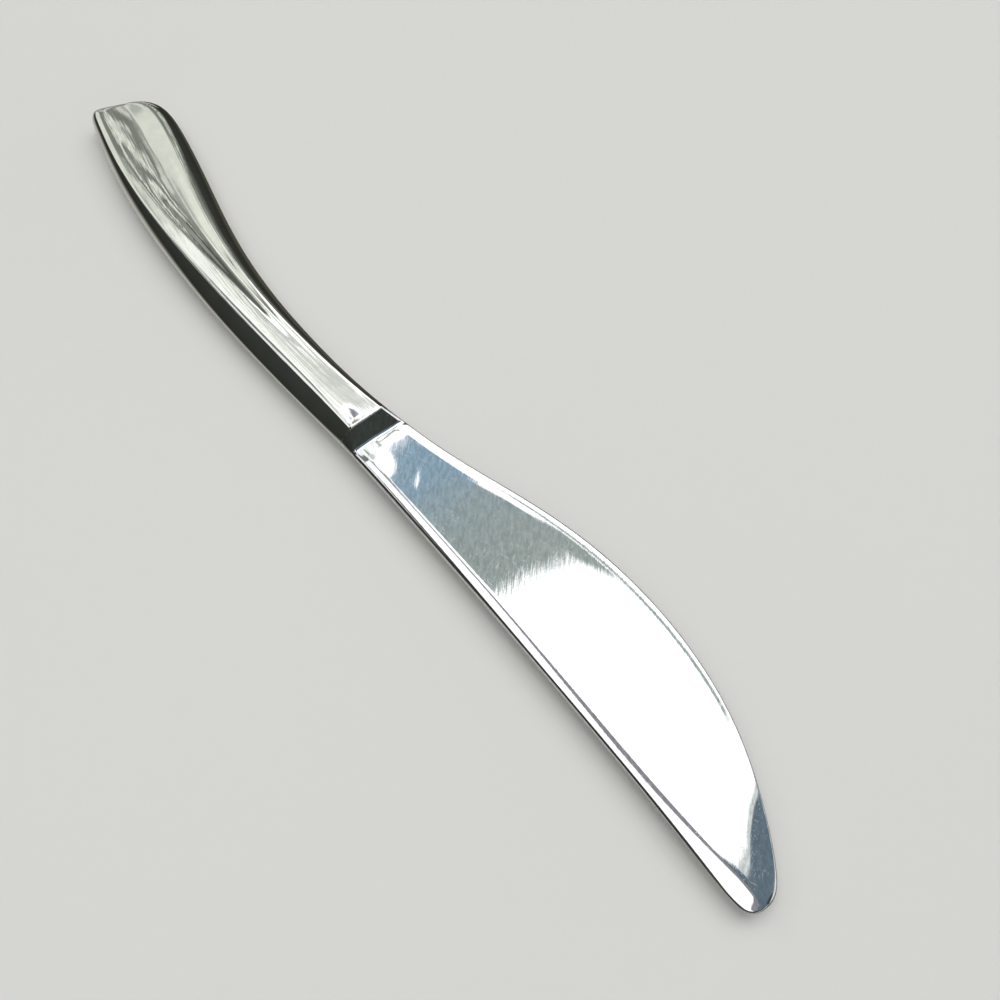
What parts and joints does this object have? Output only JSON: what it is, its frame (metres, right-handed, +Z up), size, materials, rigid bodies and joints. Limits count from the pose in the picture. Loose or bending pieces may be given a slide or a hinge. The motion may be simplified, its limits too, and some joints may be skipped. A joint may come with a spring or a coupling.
{
  "type": "dinner knife",
  "caption": "Polished stainless dinner knife with a swollen round-tipped blade, a sloped bolster and a curved, fluted hollow handle; it cuts and spreads food at the table.",
  "frame": {"origin": "centre of the knife's plan outline, on the surface it lies on", "axes": "+X from the butt of the handle to the tip of the blade, +Y from the spine to the cutting edge, +Z up, square to the flat of the blade"},
  "size_m": [0.2168, 0.0332, 0.0074],
  "materials": {
    "blade_steel": "polished",
    "handle_steel": "polished",
    "braze": "satin",
    "cement": "matte"
  },
  "bodies": {
    "root": {"blade": "blade_steel", "handle_top_shell": "handle_steel", "handle_bottom_shell": "handle_steel", "seam_braze": "braze", "bolster_braze": "braze", "cement_core": "cement"}
  },
  "joints": []
}
